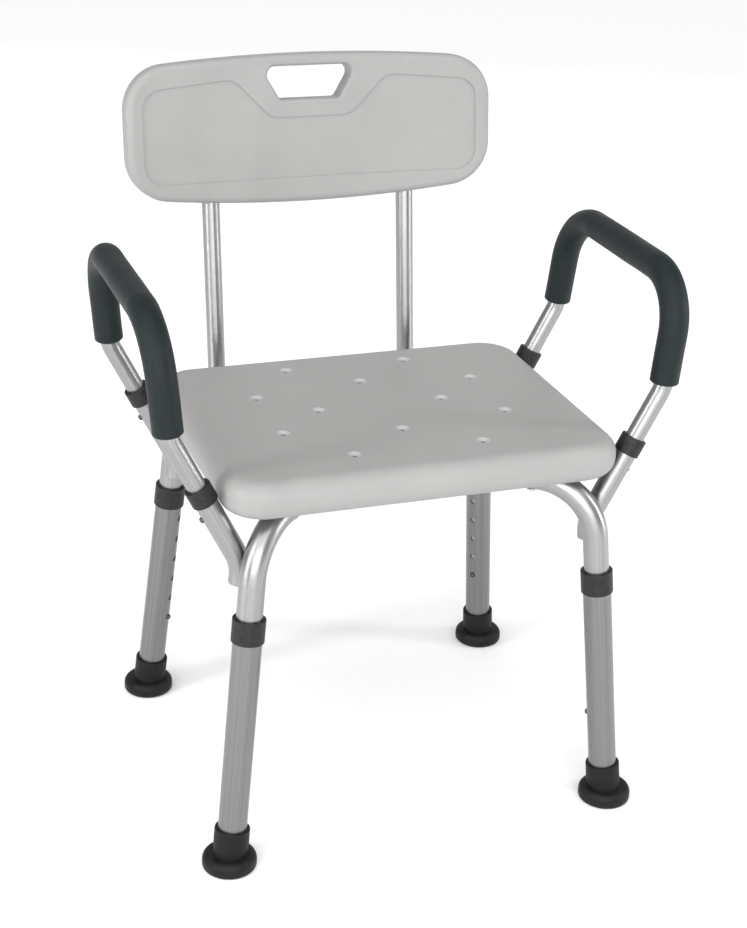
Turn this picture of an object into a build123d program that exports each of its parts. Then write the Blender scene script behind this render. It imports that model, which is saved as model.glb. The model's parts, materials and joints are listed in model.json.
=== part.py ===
"""Shower chair with a backrest, two removable armrests and four telescopic legs.

Millimetres. +Z is up, the sitter faces -Y, and +X is on the sitter's left. The origin is on the floor,
under the middle of the chair's overall width and depth, with the legs at their shortest.
"""

import os
from math import atan2, cos, hypot, radians, sin, sqrt, tan

from build123d import *

os.makedirs("parts", exist_ok=True)

# ---- Driving dimensions ----

# Stance: where the legs' axes meet the floor, measured from the stance centre.
stance_half_width = 204.5
stance_half_depth = 173.0
leg_lean = 6.74  # degrees from vertical, outward along each diagonal
frame_height = 352.0  # axis of the crossed tubes under the seat
frame_bend_radius = 60.0

# Tubes.
frame_tube_radius = 12.7
leg_tube_radius = 14.3
arm_tube_radius = 9.5
post_tube_radius = 9.5
tube_wall = 1.5
running_gap = 0.08  # radial, between telescoping tubes

# Legs, measured along their axes from the floor.
upper_leg_end = 84.0
leg_button_height = 100.0
leg_tube_start = 8.0
leg_tube_end = 262.0
leg_hole_pitch = 25.4
leg_hole_count = 6

# Collars.
collar_wall = 1.9
collar_lip = 3.0
collar_play = 0.35  # radial, between a collar's lip and the sliding tube
leg_collar_length = 24.0
arm_collar_length = 18.0

# Feet.
foot_height = 42.0
foot_flare_radius = 27.0
foot_flare_height = 15.0
foot_flare_top_round = 7.0
foot_flare_bottom_round = 3.5
foot_wall = 3.2
foot_base = 6.0
washer_thickness = 1.6

# Seat.
seat_width = 404.0
seat_depth = 314.0
seat_thickness = 38.0
seat_setback = -4.5  # seat centre from the stance centre
seat_bottom = 362.0
seat_corner_radius = 42.0
seat_top_round = 17.0
seat_bottom_round = 16.0
seat_wall = 4.0
seat_groove_gap = 0.3
drain_radius = 2.4
dimple_radius = 6.5
dimple_depth = 2.2
pillar_wall = 4.0

# Crossing of the two frame tubes.
flat_thickness = 12.0
flat_width = 33.0
flat_half_length = 21.0
flat_run = 27.0  # from flattened back to round
flat_gap = 0.25  # from the crossing's mid height to each tube
bolt_radius = 3.0
bolt_head_radius = 6.0
bolt_head_height = 3.4
bolt_clearance = 0.3
bolt_tail = 2.0  # beyond the nut
nut_height = 5.0

# Seat screws.
screw_distances = (62.0, 163.0)  # along each frame tube, from the crossing
screw_radius = 2.4
screw_head_radius = 4.6
screw_head_height = 2.6
screw_depth = 14.0  # into the seat

# Backrest receivers.
rail_half_spacing = 111.0
rail_front = -25.0
rail_rear = 158.0
rail_gap = 3.0  # between a rail and the frame tube above it
rail_button_y = 52.0
plug_depth = 12.0
plug_flange = 2.0
saddle_length = 26.0
saddle_width = 15.0
strap_width = 28.0

# Arm sockets.
socket_half_spacing = 125.0  # front and rear sockets, from the stance centre
socket_outset = 4.0  # socket corner outside the leg
socket_corner_height = 307.0
socket_lean = 27.0  # degrees from vertical, outward
socket_stub = 20.0
socket_bend_radius = 48.0
socket_length = 92.0  # corner to top end
arm_button_reach = 62.0  # corner to button
weld_width = 12.0
weld_length = 20.0
arm_tube_start = 25.0  # corner to the arm tube's lower end

# Armrests.
arm_bend_reach = 152.0  # socket corner to the arm's lower bend
arm_top_half_width = 260.0
arm_top_half_depth = 121.5
arm_top_height = 549.5
arm_bend_radius = 40.0
arm_corner_radius = 55.0
grip_radius = 14.5
grip_gap = 0.05  # radial, between a grip's bore and its tube
grip_end_height = 447.0

# Snap buttons and their leaf springs.
button_radius = 3.0
button_hole_play = 0.3
button_stand = 2.5  # beyond the outer tube
button_foot_gap = 0.15  # between the button's foot and the inner tube
button_travel = 3.0
leaf_thickness = 0.8
leaf_rise = 1.5  # the spring's stub beyond its leaf
leaf_width_share = 0.3  # half a leaf's width, to the radius of the tube's bore
leaf_tail = 6.0
leaf_apex = 28.0
leaf_margin = 0.12

# Backrest.
recline_slope = 0.142  # rearward per unit of height
panel_front_y = 235.0  # middle of the panel's front face at its lower edge, from the stance centre
panel_bottom = 544.0
panel_height = 158.0
panel_half_width = 204.0
panel_depth = 28.0
panel_curve_radius = 1490.0
panel_top_crown = 2000.0
panel_bottom_crown = 1420.0
panel_corner_radius = 48.0
panel_front_round = 7.0
panel_rear_round = 9.0
field_half_width = 187.0
field_bottom = 27.0
field_top = 134.0
field_depth = 1.3
field_corner_radius = 22.0
dip_half_width = 44.0
dip_run = 42.0
dip_bottom = 92.0
grip_hole_bottom = 110.0
grip_hole_top = 145.0
grip_hole_bottom_half = 33.0
grip_hole_top_half = 54.0
grip_hole_top_corner = 9.0
grip_hole_bottom_corner = 5.0
grip_hole_round = 4.0
post_setback = 16.5  # post axis behind the panel's front face
post_insertion = 84.0
post_bend_radius = 50.0
post_tail_y = 34.0
post_gap = 0.05
panel_screw_heights = (30.0, 70.0)
panel_screw_radius = 2.2
panel_screw_head_radius = 4.2
panel_screw_head_height = 2.4
panel_screw_inset = 1.5  # screw head's seating, inside the panel's rear face

# ---- Derived places ----

recline = atan2(recline_slope, 1.0)
stance_radius = hypot(stance_half_width, stance_half_depth)
diagonal = atan2(stance_half_depth, stance_half_width)
lean = radians(leg_lean)
leg_bore_radius = frame_tube_radius + running_gap
socket_bore_radius = arm_tube_radius + running_gap
socket_radius = socket_bore_radius + tube_wall
rail_bore_radius = post_tube_radius + running_gap
rail_radius = rail_bore_radius + tube_wall
frame_bore_radius = frame_tube_radius - tube_wall
arm_bore_radius = arm_tube_radius - tube_wall
post_bore_radius = post_tube_radius - tube_wall
flat_reach = flat_thickness + flat_gap
seat_top = seat_bottom + seat_thickness
rail_height = frame_height - frame_tube_radius - rail_gap - rail_radius
strap_thickness = frame_height - flat_reach - flat_gap - rail_height - rail_radius
button_hole_radius = button_radius + button_hole_play
pressed_foot = button_foot_gap - button_travel - leaf_margin
panel_rear_y = panel_front_y + panel_height * sin(recline) + panel_depth * cos(recline)
chair_front_y = -stance_half_depth - foot_flare_radius
centre_y = -(panel_rear_y + chair_front_y) / 2  # stance centre, in the chair's own frame

corners = {
    "front_left": (1, -1),
    "front_right": (-1, -1),
    "rear_left": (1, 1),
    "rear_right": (-1, 1),
}
sides = {"left": 1, "right": -1}

drain_places = [(x, y) for x in (-117, 117) for y in (-46, 46)]
drain_places += [(x, y) for x in (-66, 66) for y in (-111, 0, 111)]
drain_places += [(0, y) for y in (-64, 64)]


def save(piece, label):
    """Name a finished piece and write it to its own file."""
    piece.part.label = label
    export_step(piece.part, f"parts/{label}.step")


def diagonal_point(side_x, side_y, radius, height):
    """A point in a leg's vertical plane, by its distance from the stance centre and its height."""
    return Vector(side_x * radius * cos(diagonal), centre_y + side_y * radius * sin(diagonal), height)


def leg_up(side_x, side_y):
    """Unit vector up a leg."""
    return Vector(-side_x * sin(lean) * cos(diagonal), -side_y * sin(lean) * sin(diagonal), cos(lean))


def leg_inward(side_x, side_y):
    """Unit vector square to a leg, towards the chair's middle."""
    return Vector(-side_x * cos(lean) * cos(diagonal), -side_y * cos(lean) * sin(diagonal), -sin(lean))


def leg_plane(side_x, side_y, height):
    """Plane square to a leg at a distance up its axis, with local +X inward."""
    origin = diagonal_point(side_x, side_y, stance_radius, 0) + leg_up(side_x, side_y) * height
    return Plane(origin=origin, x_dir=leg_inward(side_x, side_y), z_dir=leg_up(side_x, side_y))


def socket_corner(side_x, side_y):
    """Corner of an arm socket's centreline."""
    leg_x = (stance_radius - tan(lean) * socket_corner_height) * cos(diagonal)
    return Vector(side_x * (leg_x + socket_outset), centre_y + side_y * socket_half_spacing,
                  socket_corner_height)


def socket_up(side_x):
    """Unit vector up an arm socket."""
    return Vector(side_x * sin(radians(socket_lean)), 0, cos(radians(socket_lean)))


def socket_outward(side_x):
    """Unit vector square to an arm socket, outward and down."""
    return Vector(side_x * cos(radians(socket_lean)), 0, -sin(radians(socket_lean)))


def panel_point(across, up, rearward):
    """A point by the backrest's own directions, from the middle of its front face's lower edge."""
    return Vector(
        across,
        centre_y + panel_front_y + up * sin(recline) + rearward * cos(recline),
        panel_bottom + up * cos(recline) - rearward * sin(recline),
    )


def post_rearward():
    """Distance of a post's axis behind the panel's datum."""
    sweep_forward = panel_curve_radius - sqrt(panel_curve_radius**2 - rail_half_spacing**2)
    return post_setback - sweep_forward


def bent_path(points, radii):
    """Centreline of straight runs joined by tangent arcs."""
    corner_count = len(points) - 2
    start = points[0]
    with BuildLine() as path:
        for index in range(corner_count):
            before, corner, after = points[index : index + 3]
            arrive = (corner - before).normalized()
            leave = (after - corner).normalized()
            half_turn = radians(arrive.get_angle(leave)) / 2
            setback = radii[index] * tan(half_turn)
            rise = radii[index] * (1 / cos(half_turn) - 1)
            arc_start = corner - arrive * setback
            arc_end = corner + leave * setback
            Line(start, arc_start)
            ThreePointArc(arc_start, corner + (leave - arrive).normalized() * rise, arc_end)
            start = arc_end
        Line(start, points[-1])
    return path.line


def sweep_round(path, outer, inner=0.0, mode=Mode.ADD):
    """Sweep a round section along a centreline in the part being built."""
    with BuildSketch(Plane(origin=path @ 0, z_dir=path % 0)) as section:
        Circle(outer)
        if inner > 0:
            Circle(inner, mode=Mode.SUBTRACT)
    sweep(section.sketch, path=path, mode=mode)


def drill(origin, direction, radius, length, mode=Mode.SUBTRACT):
    """A round hole, or a round bar, from a point along a direction in the part being built."""
    with BuildSketch(Plane(origin=origin, z_dir=direction)) as section:
        Circle(radius)
    extrude(section.sketch, amount=length, mode=mode)


# ---- Under-seat frame ----


def frame_path(side_x, side_y, inner_end):
    """Centreline of one half of a crossed tube, from its leg's lower end towards the crossing."""
    leg_end = diagonal_point(side_x, side_y, stance_radius, 0) + leg_up(side_x, side_y) * upper_leg_end
    corner = diagonal_point(side_x, side_y, stance_radius - tan(lean) * frame_height, frame_height)
    finish = diagonal_point(side_x, side_y, inner_end, frame_height)
    return bent_path([leg_end, corner, finish], [frame_bend_radius])


def cross_section_plane(side_x, side_y, distance, rise):
    """Plane square to a crossed tube, at a distance from the crossing and above its axis."""
    origin = diagonal_point(side_x, side_y, distance, frame_height + rise)
    outward = diagonal_point(side_x, side_y, 1, 0) - diagonal_point(side_x, side_y, 0, 0)
    return Plane(origin=origin, x_dir=outward.cross(Vector(0, 0, 1)), z_dir=outward)


def flattened_bar(ends, level, width, thickness, radius, mode):
    """The flattened middle of a crossed tube and its two runs back to round."""
    rise = level * (flat_thickness / 2 + flat_gap)
    with BuildSketch(cross_section_plane(*ends[0], -flat_half_length, rise)) as middle:
        Ellipse(width / 2, thickness / 2)
    extrude(middle.sketch, amount=2 * flat_half_length, mode=mode)
    for side_x, side_y in ends:
        with BuildSketch(cross_section_plane(side_x, side_y, flat_half_length, rise)) as flat_end:
            Ellipse(width / 2, thickness / 2)
        with BuildSketch(cross_section_plane(side_x, side_y, flat_half_length + flat_run, 0)) as round_end:
            Circle(radius)
        loft([flat_end.sketch, round_end.sketch], mode=mode)


def cross_tube(ends, level):
    """One frame tube with a leg at each end, flattened where it crosses the other."""
    with BuildPart() as tube:
        for side_x, side_y in ends:
            sweep_round(frame_path(side_x, side_y, flat_half_length + flat_run), frame_tube_radius)
        flattened_bar(ends, level, flat_width, flat_thickness, frame_tube_radius, Mode.ADD)
        for side_x, side_y in ends:
            path = frame_path(side_x, side_y, flat_half_length + flat_run)
            sweep_round(path, frame_bore_radius, mode=Mode.SUBTRACT)
        inner_width = flat_width - 2 * tube_wall
        inner_thickness = flat_thickness - 2 * tube_wall
        flattened_bar(ends, level, inner_width, inner_thickness, frame_bore_radius, Mode.SUBTRACT)
        for side_x, side_y in ends:
            button_plane = leg_plane(side_x, side_y, leg_button_height)
            drill(button_plane.origin, leg_inward(side_x, side_y), button_hole_radius, leg_tube_radius)
            for distance in screw_distances:
                below = diagonal_point(side_x, side_y, distance, frame_height - 2 * frame_tube_radius)
                drill(below, (0, 0, 1), screw_radius + bolt_clearance, 4 * frame_tube_radius)
        drill((0, centre_y, frame_height - flat_width), (0, 0, 1), bolt_radius + bolt_clearance,
              2 * flat_width)
    return tube


tube_ends = {"a": [(1, -1), (-1, 1)], "b": [(1, 1), (-1, -1)]}
save(cross_tube(tube_ends["a"], 1), "cross_tube_a")
save(cross_tube(tube_ends["b"], -1), "cross_tube_b")

with BuildPart() as centre_bolt:
    drill((0, centre_y, frame_height + flat_reach), (0, 0, 1), bolt_head_radius, bolt_head_height, Mode.ADD)
    fillet(centre_bolt.edges().group_by(Axis.Z)[-1], bolt_head_height * 0.6)
    drill((0, centre_y, frame_height + flat_reach), (0, 0, -1), bolt_radius,
          2 * flat_reach + strap_thickness + nut_height + bolt_tail, Mode.ADD)
save(centre_bolt, "centre_bolt")

with BuildPart() as centre_nut:
    with BuildSketch(Plane((0, centre_y, rail_height + rail_radius - nut_height))):
        RegularPolygon(radius=bolt_head_radius, side_count=6)
        Circle(bolt_radius, mode=Mode.SUBTRACT)
    extrude(amount=nut_height)
    chamfer(centre_nut.faces().sort_by(Axis.Z)[0].outer_wire().edges(), 0.6)
save(centre_nut, "centre_nut")

with BuildPart() as seat_screws:
    for side_x, side_y in corners.values():
        for distance in screw_distances:
            seating = diagonal_point(side_x, side_y, distance, frame_height - frame_tube_radius)
            shank = seat_bottom + screw_depth - seating.Z
            drill(seating, (0, 0, -1), screw_head_radius, screw_head_height, Mode.ADD)
            drill(seating, (0, 0, 1), screw_radius, shank, Mode.ADD)
    fillet(seat_screws.edges().group_by(Axis.Z)[0], screw_head_height * 0.6)
save(seat_screws, "seat_screws")

# ---- Seat ----

with BuildPart() as seat:
    seat_plane = Plane((0, centre_y + seat_setback, seat_bottom))
    with BuildSketch(seat_plane):
        RectangleRounded(seat_width, seat_depth, seat_corner_radius)
    extrude(amount=seat_thickness)
    fillet(seat.edges().group_by(Axis.Z)[-1], seat_top_round)
    fillet(seat.edges().group_by(Axis.Z)[0], seat_bottom_round)
    # The tubes and the bolt's head sit in the underside.
    groove_radius = frame_tube_radius + seat_groove_gap
    for side_x, side_y in corners.values():
        sweep_round(frame_path(side_x, side_y, 0), groove_radius, mode=Mode.SUBTRACT)
    flattened_bar(tube_ends["a"], 1, flat_width + 2 * seat_groove_gap,
                  flat_thickness + 2 * seat_groove_gap, groove_radius, Mode.SUBTRACT)
    head_pocket = bolt_head_radius + seat_wall / 2
    drill((0, centre_y, frame_height), (0, 0, 1), head_pocket, flat_reach + bolt_head_height + bolt_clearance)
    for x, y in drain_places:
        top = Vector(x, centre_y + y, seat_top)
        drill(top, (0, 0, -1), drain_radius, seat_thickness)
        with BuildSketch(Plane(top)) as rim:
            Circle(dimple_radius)
        with BuildSketch(Plane(top - Vector(0, 0, dimple_depth))) as throat:
            Circle(drain_radius)
        loft([rim.sketch, throat.sketch], mode=Mode.SUBTRACT)
    # The moulding's sealed hollow, with a pillar round each hole and screw.
    hollow_floor = frame_height + groove_radius + seat_wall
    with BuildSketch(Plane((0, centre_y + seat_setback, hollow_floor))):
        inset = 2 * seat_top_round
        RectangleRounded(seat_width - inset, seat_depth - inset, seat_corner_radius - inset / 2)
        for x, y in drain_places:
            with Locations((x, y - seat_setback)):
                Circle(dimple_radius + pillar_wall / 2, mode=Mode.SUBTRACT)
        for side_x, side_y in corners.values():
            for distance in screw_distances:
                spot = diagonal_point(side_x, side_y, distance, 0)
                with Locations((spot.X, spot.Y - centre_y - seat_setback)):
                    Circle(screw_radius + pillar_wall, mode=Mode.SUBTRACT)
        with Locations((0, -seat_setback)):
            Circle(head_pocket + pillar_wall, mode=Mode.SUBTRACT)
    extrude(amount=seat_top - seat_wall - hollow_floor, mode=Mode.SUBTRACT)
    for side_x, side_y in corners.values():
        for distance in screw_distances:
            pilot = diagonal_point(side_x, side_y, distance, frame_height)
            drill(pilot, (0, 0, 1), screw_radius, seat_bottom + screw_depth - frame_height)
save(seat, "seat")

# ---- Backrest receivers ----

for side, sign in sides.items():
    with BuildPart() as rail:
        front = Vector(sign * rail_half_spacing, centre_y + rail_front, rail_height)
        drill(front, (0, 1, 0), rail_radius, rail_rear - rail_front, Mode.ADD)
        drill(front, (0, 1, 0), rail_bore_radius, rail_rear - rail_front)
        button_spot = Vector(sign * rail_half_spacing, centre_y + rail_button_y, rail_height)
        drill(button_spot, (sign, 0, 0), button_hole_radius, 2 * rail_radius)
    save(rail, f"backrest_rail_{side}")

with BuildPart() as rail_plugs:
    for sign in sides.values():
        mouth = Vector(sign * rail_half_spacing, centre_y + rail_front, rail_height)
        drill(mouth, (0, -1, 0), rail_radius, plug_flange, Mode.ADD)
        drill(mouth, (0, 1, 0), rail_bore_radius, plug_depth, Mode.ADD)
    fillet(rail_plugs.edges().group_by(Axis.Y)[0], plug_flange * 0.6)
save(rail_plugs, "rail_end_plugs")

with BuildPart() as rail_saddles:
    crossing_distance = rail_half_spacing / cos(diagonal)
    for side_x in sides.values():
        spot = diagonal_point(side_x, 1, crossing_distance, rail_height + rail_radius / 2)
        with BuildSketch(Plane(spot)) as footprint:
            Rectangle(saddle_width, saddle_length)
        extrude(footprint.sketch, amount=rail_radius / 2 + rail_gap + frame_tube_radius / 2)
    for side_x in sides.values():
        sweep_round(frame_path(side_x, 1, 0), frame_tube_radius, mode=Mode.SUBTRACT)
        front = Vector(side_x * rail_half_spacing, centre_y + rail_front, rail_height)
        drill(front, (0, 1, 0), rail_radius, rail_rear - rail_front)
save(rail_saddles, "rail_saddles")

with BuildPart() as rail_strap:
    with BuildSketch(Plane((0, centre_y, rail_height + rail_radius))):
        SlotOverall(2 * rail_half_spacing + strap_width, strap_width)
        Circle(bolt_radius + bolt_clearance, mode=Mode.SUBTRACT)
    extrude(amount=strap_thickness)
save(rail_strap, "rail_strap")

# ---- Arm sockets ----


def socket_path(side_x, side_y):
    """Centreline of an arm socket: a stub along the leg, then the leaning socket."""
    corner = socket_corner(side_x, side_y)
    stub_down = Vector(side_x * tan(lean) * cos(diagonal), 0, -1).normalized()
    top = corner + socket_up(side_x) * socket_length
    return bent_path([corner + stub_down * socket_stub, corner, top], [socket_bend_radius])


def arm_socket(side_x, side_y):
    """Tube welded to a leg, which the armrest's tube slides into."""
    with BuildPart() as socket:
        sweep_round(socket_path(side_x, side_y), socket_radius, socket_bore_radius)
        button_spot = socket_corner(side_x, side_y) + socket_up(side_x) * arm_button_reach
        drill(button_spot, socket_outward(side_x), button_hole_radius, 2 * socket_radius)
    return socket


def tube_collar(end, up, tube_radius, slider_radius, length):
    """Plastic collar over the open end of a tube, with a lip that steadies the tube inside."""
    with BuildPart() as collar:
        drill(end + up * collar_lip, up * -1, tube_radius + collar_wall, length, Mode.ADD)
        rims = collar.edges().filter_by(GeomType.CIRCLE)
        fillet(rims, collar_wall * 0.45)
        drill(end, up * -1, tube_radius, length)
        drill(end + up * collar_lip, up * -1, slider_radius + collar_play, length)
    return collar


for corner_name, (side_x, side_y) in corners.items():
    save(arm_socket(side_x, side_y), f"arm_socket_{corner_name}")
    socket_end = socket_corner(side_x, side_y) + socket_up(side_x) * socket_length
    save(tube_collar(socket_end, socket_up(side_x), socket_radius, arm_tube_radius, arm_collar_length),
         f"arm_collar_{corner_name}")

# Weld metal bridges each leg and its arm socket.
with BuildPart() as socket_welds:
    for side_x, side_y in corners.values():
        corner = socket_corner(side_x, side_y)
        leg_spot = diagonal_point(side_x, side_y, stance_radius - tan(lean) * corner.Z, corner.Z)
        between = (leg_spot - corner).normalized()
        with BuildSketch(Plane(origin=(corner + leg_spot) * 0.5, x_dir=between, z_dir=(0, 0, 1))) as block:
            Rectangle(frame_tube_radius, weld_width)
        extrude(block.sketch, amount=weld_length / 2, both=True)
    for side_x, side_y in corners.values():
        sweep_round(frame_path(side_x, side_y, 0), frame_tube_radius, mode=Mode.SUBTRACT)
        sweep_round(socket_path(side_x, side_y), socket_radius, mode=Mode.SUBTRACT)
save(socket_welds, "socket_welds")

# ---- Legs ----


def lower_leg(side_x, side_y):
    """Outer leg tube with its row of height holes on the inner side."""
    with BuildPart() as leg:
        start = leg_plane(side_x, side_y, leg_tube_start)
        drill(start.origin, start.z_dir, leg_tube_radius, leg_tube_end - leg_tube_start, Mode.ADD)
        drill(start.origin, start.z_dir, leg_bore_radius, leg_tube_end - leg_tube_start)
        for step in range(leg_hole_count):
            hole = leg_plane(side_x, side_y, leg_button_height + step * leg_hole_pitch)
            drill(hole.origin, hole.x_dir, button_hole_radius, 2 * leg_tube_radius)
    return leg


def foot(side_x, side_y):
    """Rubber foot: a barrel along the leaning leg, on a round flare that sits level on the floor."""
    with BuildPart() as rubber:
        sole = diagonal_point(side_x, side_y, stance_radius, 0)
        drill(sole, (0, 0, 1), foot_flare_radius, foot_flare_height, Mode.ADD)
        levels = rubber.edges().filter_by(GeomType.CIRCLE).group_by(Axis.Z)
        fillet(levels[-1], foot_flare_top_round)
        fillet(levels[0], foot_flare_bottom_round)
        barrel = leg_plane(side_x, side_y, foot_base)
        drill(barrel.origin, barrel.z_dir, leg_tube_radius + foot_wall, foot_height - foot_base, Mode.ADD)
        fillet(rubber.edges().group_by(Axis.Z)[-1], foot_wall * 0.35)
        drill(barrel.origin, barrel.z_dir, leg_tube_radius, foot_height)
    return rubber


def disc(plane, radius, thickness):
    """Flat round disc on a plane."""
    with BuildPart() as washer:
        drill(plane.origin, plane.z_dir, radius, thickness, Mode.ADD)
    return washer


for corner_name, (side_x, side_y) in corners.items():
    save(lower_leg(side_x, side_y), f"lower_leg_{corner_name}")
    leg_end = leg_plane(side_x, side_y, leg_tube_end)
    save(tube_collar(leg_end.origin, leg_end.z_dir, leg_tube_radius, frame_tube_radius, leg_collar_length),
         f"leg_collar_{corner_name}")
    save(foot(side_x, side_y), f"foot_{corner_name}")
    save(disc(leg_plane(side_x, side_y, foot_base), leg_tube_radius, washer_thickness),
         f"foot_washer_{corner_name}")

# ---- Armrests ----


def arm_points(sign, first):
    """Corners of an armrest's centreline, from the front end to the rear end."""
    front = []
    rear = []
    for points, side_y in ((front, -1), (rear, 1)):
        corner = socket_corner(sign, side_y)
        top = Vector(sign * arm_top_half_width, centre_y + side_y * arm_top_half_depth, arm_top_height)
        bend = corner + socket_up(sign) * arm_bend_reach
        if first == "socket":
            points += [corner + socket_up(sign) * arm_tube_start, bend, top]
        else:
            share = (grip_end_height - bend.Z) / (top.Z - bend.Z)
            points += [bend + (top - bend) * share, top]
    return front + rear[::-1]


for side, sign in sides.items():
    with BuildPart() as armrest_tube:
        arm_path = bent_path(arm_points(sign, "socket"),
                             [arm_bend_radius, arm_corner_radius, arm_corner_radius, arm_bend_radius])
        sweep_round(arm_path, arm_tube_radius, arm_bore_radius)
        for side_y in (-1, 1):
            button_spot = socket_corner(sign, side_y) + socket_up(sign) * arm_button_reach
            drill(button_spot, socket_outward(sign), button_hole_radius, 2 * socket_radius)
    save(armrest_tube, f"armrest_tube_{side}")

    with BuildPart() as armrest_grip:
        grip_path = bent_path(arm_points(sign, "grip"), [arm_corner_radius, arm_corner_radius])
        sweep_round(grip_path, grip_radius, arm_tube_radius + grip_gap)
    save(armrest_grip, f"armrest_grip_{side}")

# ---- Backrest ----

panel_up = panel_point(0, 1, 0) - panel_point(0, 0, 0)
panel_rearward = panel_point(0, 0, 1) - panel_point(0, 0, 0)
panel_face_plane = Plane(origin=panel_point(0, 0, 0), x_dir=(1, 0, 0), z_dir=panel_rearward * -1)


def crown_drop(radius, x):
    """How far a crowned edge has dropped at a distance from the middle."""
    return radius - sqrt(radius**2 - x**2)


def curved_slab(front, rear):
    """Slab between two distances behind the backrest's curved front face."""
    section_plane = Plane(origin=panel_point(0, -panel_height / 2, 0), x_dir=(1, 0, 0), z_dir=panel_up)
    with BuildSketch(section_plane) as section:
        with Locations((0, -panel_curve_radius)):
            Circle(panel_curve_radius + rear)
            Circle(panel_curve_radius + front, mode=Mode.SUBTRACT)
        Rectangle(3 * panel_half_width, panel_half_width, mode=Mode.INTERSECT)
    extrude(section.sketch, amount=2 * panel_height)


with BuildPart() as field_recess:
    curved_slab(-panel_depth, field_depth)
    with BuildSketch(panel_face_plane) as field_outline:
        shoulder = field_top - crown_drop(panel_top_crown, field_half_width)
        right_half = [(field_half_width, field_bottom), (field_half_width, shoulder),
                      (dip_half_width + dip_run, field_top), (dip_half_width, dip_bottom)]
        left_half = [(-x, y) for x, y in reversed(right_half)]
        with BuildLine():
            Polyline(*right_half, *left_half, close=True)
        make_face()
        fillet(field_outline.vertices(), field_corner_radius)
    extrude(amount=2 * panel_depth, both=True, mode=Mode.INTERSECT)

with BuildPart() as grip_hole:
    with BuildSketch(panel_face_plane) as grip_outline:
        with BuildLine():
            Polyline((-grip_hole_bottom_half, grip_hole_bottom), (grip_hole_bottom_half, grip_hole_bottom),
                     (grip_hole_top_half, grip_hole_top), (-grip_hole_top_half, grip_hole_top), close=True)
        make_face()
        fillet(grip_outline.vertices().group_by(Axis.Y)[-1], grip_hole_top_corner)
        fillet(grip_outline.vertices().group_by(Axis.Y)[0], grip_hole_bottom_corner)
    extrude(amount=3 * panel_depth, both=True)

rearward_axis = Axis(panel_point(0, 0, 0), panel_rearward)
post_back = post_rearward()
screw_seat = post_back - post_setback + panel_depth - panel_screw_inset
with BuildPart() as panel:
    curved_slab(0, panel_depth)
    with BuildSketch(panel_face_plane) as barrel:
        side_top = panel_height - crown_drop(panel_top_crown, panel_half_width)
        side_bottom = crown_drop(panel_bottom_crown, panel_half_width)
        with BuildLine():
            ThreePointArc((-panel_half_width, side_top), (0, panel_height), (panel_half_width, side_top))
            Line((panel_half_width, side_top), (panel_half_width, side_bottom))
            ThreePointArc((panel_half_width, side_bottom), (0, 0), (-panel_half_width, side_bottom))
            Line((-panel_half_width, side_bottom), (-panel_half_width, side_top))
        make_face()
        fillet(barrel.vertices(), panel_corner_radius)
    extrude(amount=3 * panel_depth, both=True, mode=Mode.INTERSECT)
    fillet(panel.faces().sort_by(rearward_axis)[0].outer_wire().edges(), panel_front_round)
    fillet(panel.faces().sort_by(rearward_axis)[-1].outer_wire().edges(), panel_rear_round)
    add(grip_hole.part, mode=Mode.SUBTRACT)
    rear_face, front_face = panel.faces().sort_by(SortBy.AREA)[-2:]
    fillet(front_face.inner_wires().edges() + rear_face.inner_wires().edges(), grip_hole_round)
    add(field_recess.part, mode=Mode.SUBTRACT)
    for sign in sides.values():
        post_x = sign * rail_half_spacing
        drill(panel_point(post_x, -panel_depth, post_back), panel_up, post_tube_radius + post_gap,
              panel_depth + post_insertion)
        for up in panel_screw_heights:
            axis_spot = panel_point(post_x, up, post_back)
            drill(axis_spot, panel_rearward, panel_screw_radius, panel_depth)
            drill(panel_point(post_x, up, screw_seat), panel_rearward, panel_screw_head_radius + post_gap,
                  panel_depth)
save(panel, "backrest_panel")

with BuildPart() as panel_screws:
    for sign in sides.values():
        for up in panel_screw_heights:
            seating = panel_point(sign * rail_half_spacing, up, screw_seat)
            drill(seating, panel_rearward, panel_screw_head_radius, panel_screw_head_height, Mode.ADD)
            drill(seating, panel_rearward * -1, panel_screw_radius, screw_seat - post_back, Mode.ADD)
save(panel_screws, "panel_screws")

post_foot_up = (rail_height - panel_bottom + post_back * sin(recline)) / cos(recline)
for side, sign in sides.items():
    post_x = sign * rail_half_spacing
    post_top = panel_point(post_x, post_insertion - post_gap, post_back)
    post_corner = panel_point(post_x, post_foot_up, post_back)
    post_end = Vector(post_x, centre_y + post_tail_y, rail_height)
    with BuildPart() as post:
        post_path = bent_path([post_top, post_corner, post_end], [post_bend_radius])
        sweep_round(post_path, post_tube_radius, post_bore_radius)
        for up in panel_screw_heights:
            drill(panel_point(post_x, up, post_back), panel_rearward, panel_screw_radius, panel_depth)
        button_spot = Vector(post_x, centre_y + rail_button_y, rail_height)
        drill(button_spot, (sign, 0, 0), button_hole_radius, 2 * rail_radius)
    save(post, f"backrest_post_{side}")

# ---- Snap buttons and leaf springs ----


def snap_button(spot, outward, slider_radius, sleeve_radius):
    """Domed button in a sleeve's hole, from the sliding tube's surface outward."""
    foot_reach = slider_radius + button_foot_gap
    with BuildPart() as button:
        drill(spot + outward * foot_reach, outward, button_radius,
              sleeve_radius + button_stand - foot_reach, Mode.ADD)
        fillet(button.edges().sort_by(Axis(spot, outward))[-1], 0.7 * button_radius)
    return button


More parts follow.
